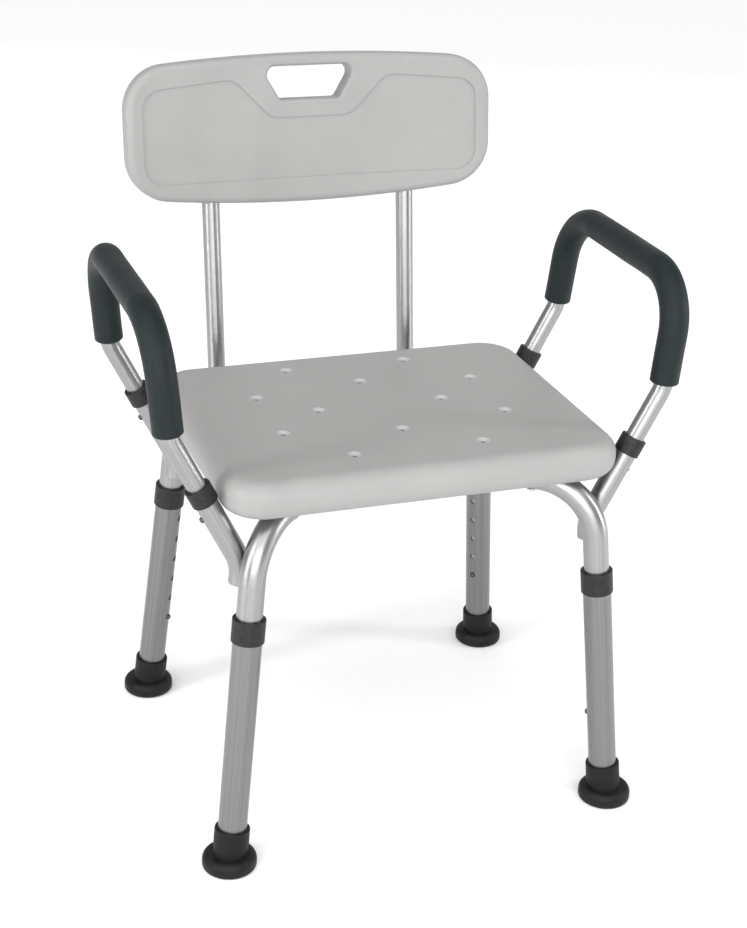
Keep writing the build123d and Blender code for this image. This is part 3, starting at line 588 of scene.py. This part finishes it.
def rounded_line(corners, radius, step):
    """Points and directions along straight runs whose inner corners are rounded."""
    runs = []
    start = corners[0]
    for before, corner, after in zip(corners, corners[1:], corners[2:]):
        inward = (before - corner).normalized()
        outward = (after - corner).normalized()
        half_turn = (math.pi - inward.angle(outward)) / 2
        reach = radius * math.tan(half_turn)
        runs.append((start, corner + inward * reach, None, 0.0))
        centre = corner + (inward + outward).normalized() * radius / math.cos(half_turn)
        runs.append((corner + inward * reach, corner + outward * reach, centre, 2 * half_turn))
        start = corner + outward * reach
    runs.append((start, corners[-1], None, 0.0))
    points = []
    for first, last, centre, turn in runs:
        length = (last - first).length if centre is None else radius * turn
        count = max(2, round(length / step))
        for index in range(count):
            share = index / count
            if centre is None:
                points.append((first.lerp(last, share), 0.0))
            else:
                arm = (first - centre).slerp(last - centre, share).normalized() * radius
                points.append((centre + arm, math.sin(math.pi * share) ** BEND_RAMP))
    points.append((corners[-1], 0.0))
    return points


def foam_mesh(settings, side):
    """A bored foam tube round the armrest's top, creased inside its bends and softened at its cut ends."""
    sign = SIDES[side]
    low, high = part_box(f"armrest_grip_{side}")
    middle = (low.y + high.y) / 2
    corners = []
    for along in (-1, 1):
        end = Vector((sign * settings.end_half_width, middle + along * settings.end_half_depth,
                      settings.end_height))
        corner = Vector((sign * settings.corner_half_width, middle + along * settings.corner_half_depth,
                         settings.corner_height))
        corners = corners + [end, corner] if along < 0 else corners + [corner, end]
    line = rounded_line(corners, settings.corner_radius, settings.step)
    plane = (corners[1] - corners[0]).cross(corners[2] - corners[1]).normalized()
    travelled = [0.0]
    for (first, _), (second, _) in zip(line, line[1:]):
        travelled.append(travelled[-1] + (second - first).length)
    mesh = bmesh.new()
    rings = []
    for index, (centre, bend) in enumerate(line):
        ahead = line[min(index + 1, len(line) - 1)][0]
        behind = line[max(index - 1, 0)][0]
        direction = (ahead - behind).normalized()
        inner_side = direction.cross(plane).normalized()
        if inner_side.dot((corners[0] + corners[3]) / 2 - centre) < 0:
            inner_side.negate()
        from_end = min(travelled[index], travelled[-1] - travelled[index])
        cut = max(0.0, 1.0 - from_end / settings.end_round)
        softened = settings.end_round * (1.0 - math.sqrt(max(0.0, 1.0 - cut * cut)))
        outer = []
        bore = []
        for turn in range(settings.around):
            angle = math.tau * turn / settings.around
            out = inner_side * math.cos(angle) + plane * math.sin(angle)
            inside = max(0.0, math.cos(angle)) ** CREASE_SPREAD * bend
            wave = math.cos(math.tau * travelled[index] / settings.crease_spacing)
            crease = (0.5 + 0.5 * wave) ** CREASE_SHARPNESS
            swell = noise.noise((centre + out * SWELL_OFFSET) * SWELL_SCALE) * settings.unevenness
            radius = settings.radius + swell - softened - inside * crease * settings.crease_depth
            outer.append(mesh.verts.new(centre + out * radius))
            bore.append(mesh.verts.new(centre + out * settings.bore))
        rings.append((outer, bore))
    for (outer, bore), (next_outer, next_bore) in zip(rings, rings[1:]):
        for turn in range(settings.around):
            other = (turn + 1) % settings.around
            mesh.faces.new((outer[turn], outer[other], next_outer[other], next_outer[turn]))
            mesh.faces.new((bore[other], bore[turn], next_bore[turn], next_bore[other]))
    for outer, bore in (rings[0], rings[-1]):
        for turn in range(settings.around):
            other = (turn + 1) % settings.around
            mesh.faces.new((bore[turn], bore[other], outer[other], outer[turn]))
    bmesh.ops.recalc_face_normals(mesh, faces=mesh.faces)
    data = bpy.data.meshes.new(f"foam_grip_{side}")
    mesh.to_mesh(data)
    mesh.free()
    data.shade_smooth()
    return data


# ---- Studio ----


def add_light(name, kind, spot, **settings):
    """A light that faces the chair's middle."""
    data = bpy.data.lights.new(name, kind)
    for key, value in settings.items():
        setattr(data, key, value)
    item = bpy.data.objects.new(name, data)
    bpy.context.scene.collection.objects.link(item)
    item.location = spot
    item.rotation_euler = (Vector(LIGHT_TARGET) - Vector(spot)).to_track_quat("-Z", "Y").to_euler()


def add_softbox(name, light, power):
    spot, width, height = light
    add_light(name, "AREA", spot, energy=power, shape="RECTANGLE", size=width, size_y=height)


def add_floor(settings):
    mesh = bmesh.new()
    bmesh.ops.create_grid(mesh, x_segments=2, y_segments=2, size=settings.floor_size / 2)
    data = bpy.data.meshes.new("studio_floor")
    mesh.to_mesh(data)
    mesh.free()
    data.materials.append(floor_paint(settings))
    item = bpy.data.objects.new("studio_floor", data)
    bpy.context.scene.collection.objects.link(item)


def add_room(settings):
    """A grey room for light and reflections, which the camera sees as white."""
    world = bpy.data.worlds.new("studio")
    world.use_nodes = True
    tree = world.node_tree
    shader = tree.nodes["Background"]
    direct = add(tree, "ShaderNodeLightPath").outputs["Is Camera Ray"]
    white = (1.0, 1.0, 1.0)
    seen = mix_colours(tree, direct, shade(white, settings.room_light), shade(white, HORIZON_WHITE))
    tree.links.new(seen, shader.inputs["Color"])
    bpy.context.scene.world = world


def add_camera(settings):
    back = Vector((math.sin(settings.azimuth) * math.cos(settings.elevation),
                   -math.cos(settings.azimuth) * math.cos(settings.elevation), math.sin(settings.elevation)))
    right = Vector((math.cos(settings.azimuth), math.sin(settings.azimuth), 0.0))
    up = back.cross(right)
    turned_right = right * math.cos(settings.roll) + up * math.sin(settings.roll)
    turned_up = up * math.cos(settings.roll) - right * math.sin(settings.roll)
    data = bpy.data.cameras.new("camera")
    data.sensor_fit = "AUTO"
    data.sensor_width = 36.0
    data.lens = settings.lens
    item = bpy.data.objects.new("camera", data)
    bpy.context.scene.collection.objects.link(item)
    turn = Matrix((turned_right, turned_up, back)).transposed().to_4x4()
    item.matrix_world = Matrix.Translation(Vector(settings.target) + back * settings.distance) @ turn
    bpy.context.scene.camera = item


# ---- Operators ----


class FinishShells(bpy.types.Operator):
    """Gives the seat and the backrest panel their moulded plastic"""

    bl_idname = "shower_chair.finish_shells"
    bl_label = "Finish Shells"

    def execute(self, context):
        coat(moulded_plastic(context.scene.shower_chair_shell), "seat", "backrest_panel")
        return {"FINISHED"}


class FinishTubes(bpy.types.Operator):
    """Gives every aluminium tube its drawing lines, and the welds their ripples"""

    bl_idname = "shower_chair.finish_tubes"
    bl_label = "Finish Tubes"

    def execute(self, context):
        settings = context.scene.shower_chair_tubes
        crosswise = {}
        for joint in frame["joints"]:
            if joint["name"].startswith("leg_extend_"):
                corner = joint["name"].removeprefix("leg_extend_")
                crosswise[corner] = Vector(joint["axis"]).cross(Vector((0, 0, 1))).normalized()
                # The legs take the darker shaded copy of the aluminium: painted shade.
                coat(drawn_aluminium(settings, f"leg {corner}", crosswise[corner], settings.shaded_leg_colour),
                     f"lower_leg_{corner}")
        coat(drawn_aluminium(settings, "frame a", crosswise["front_left"], settings.colour), "cross_tube_a")
        coat(drawn_aluminium(settings, "frame b", crosswise["front_right"], settings.colour), "cross_tube_b")
        coat(drawn_aluminium(settings, "arms", (0, 1, 0), settings.colour), "armrest_tube_left",
             "armrest_tube_right", *[f"arm_socket_{corner}" for corner in CORNERS])
        coat(drawn_aluminium(settings, "back", (1, 0, 0), settings.colour), "backrest_post_left",
             "backrest_post_right", "backrest_rail_left", "backrest_rail_right", "rail_strap", "rail_saddles")
        coat(weld_metal(settings), "socket_welds")
        return {"FINISHED"}


class FitGrips(bpy.types.Operator):
    """Slides a bored foam grip on each armrest"""

    bl_idname = "shower_chair.fit_grips"
    bl_label = "Fit Foam Grips"

    def execute(self, context):
        settings = context.scene.shower_chair_grips
        material = closed_cell_foam(settings)
        for side in SIDES:
            data = foam_mesh(settings, side)
            data.materials.append(material)
            grip = bpy.data.objects.new(f"foam_grip_{side}", data)
            context.scene.collection.objects.link(grip)
            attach(grip, f"armrest_{side}")
            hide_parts(f"armrest_grip_{side}")
        return {"FINISHED"}


class FinishCollars(bpy.types.Operator):
    """Gives the collars and the rails' end plugs their textured nylon"""

    bl_idname = "shower_chair.finish_collars"
    bl_label = "Finish Collars"

    def execute(self, context):
        names = [f"{kind}_collar_{corner}" for kind in ("leg", "arm") for corner in CORNERS]
        coat(collar_nylon(context.scene.shower_chair_trim), "rail_end_plugs", *names)
        return {"FINISHED"}


class FinishFeet(bpy.types.Operator):
    """Gives the feet their black rubber"""

    bl_idname = "shower_chair.finish_feet"
    bl_label = "Finish Feet"

    def execute(self, context):
        coat(foot_rubber(context.scene.shower_chair_trim), *[f"foot_{corner}" for corner in CORNERS])
        return {"FINISHED"}


class FinishHardware(bpy.types.Operator):
    """Gives the screws, the bolt, the washers, the buttons and the springs their metals"""

    bl_idname = "shower_chair.finish_hardware"
    bl_label = "Finish Hardware"

    def execute(self, context):
        settings = context.scene.shower_chair_trim
        coat(plated_metal("zinc plated steel", settings.steel_colour, 0.3), "centre_bolt", "centre_nut",
             "seat_screws", "panel_screws", *[f"foot_washer_{corner}" for corner in CORNERS])
        coat(plated_metal("darkened button steel", settings.button_colour, 0.36),
             *[f"{kind}_button_{corner}" for kind in ("leg", "arm") for corner in CORNERS],
             *[f"backrest_button_{side}" for side in SIDES])
        coat(plated_metal("blued spring strip", settings.spring_colour, 0.28), "leg_springs",
             "backrest_springs", *[f"arm_springs_{side}" for side in SIDES])
        return {"FINISHED"}


class SetStudio(bpy.types.Operator):
    """Lays the floor and sets the room, the lights and the camera"""

    bl_idname = "shower_chair.set_studio"
    bl_label = "Set Studio"

    def execute(self, context):
        settings = context.scene.shower_chair_studio
        add_floor(settings)
        add_room(settings)
        add_camera(settings)
        add_light("overhead", "SUN", OVERHEAD_SPOT, energy=settings.overhead, angle=OVERHEAD_ANGLE)
        add_softbox("key", KEY_LIGHT, settings.key_power)
        add_softbox("strip_left", LEFT_STRIP, settings.rim_power)
        add_softbox("strip_right", RIGHT_STRIP, settings.rim_power)
        add_softbox("back_fill", BACK_LIGHT, settings.back_power)
        context.scene.view_settings.view_transform = "Standard"
        return {"FINISHED"}


OPERATORS = (FinishShells, FinishTubes, FitGrips, FinishCollars, FinishFeet, FinishHardware, SetStudio)
GROUPS = {
    "shower_chair_shell": ShellSettings,
    "shower_chair_tubes": TubeSettings,
    "shower_chair_grips": GripSettings,
    "shower_chair_trim": TrimSettings,
    "shower_chair_studio": StudioSettings,
}


class SHOWERCHAIR_PT_builder(bpy.types.Panel):
    """Lists the chair's operators and their settings"""

    bl_idname = "SHOWERCHAIR_PT_builder"
    bl_label = "Shower Chair"
    bl_space_type = "VIEW_3D"
    bl_region_type = "UI"
    bl_category = "Shower Chair"

    def draw(self, context):
        for operator in OPERATORS:
            self.layout.operator(operator.bl_idname)
        for name, group in GROUPS.items():
            box = self.layout.box()
            box.label(text=group.__name__.removesuffix("Settings"))
            for setting in group.__annotations__:
                box.prop(getattr(context.scene, name), setting)


def register():
    for made in (*GROUPS.values(), *OPERATORS, SHOWERCHAIR_PT_builder):
        bpy.utils.register_class(made)
    for name, group in GROUPS.items():
        setattr(bpy.types.Scene, name, PointerProperty(type=group))


def unregister():
    for name in GROUPS:
        delattr(bpy.types.Scene, name)
    for made in reversed((*GROUPS.values(), *OPERATORS, SHOWERCHAIR_PT_builder)):
        bpy.utils.unregister_class(made)


def main():
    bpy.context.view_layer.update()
    register()
    for operator in OPERATORS:
        getattr(bpy.ops.shower_chair, operator.bl_idname.split(".")[1])()


if __name__ == "__main__":
    main()
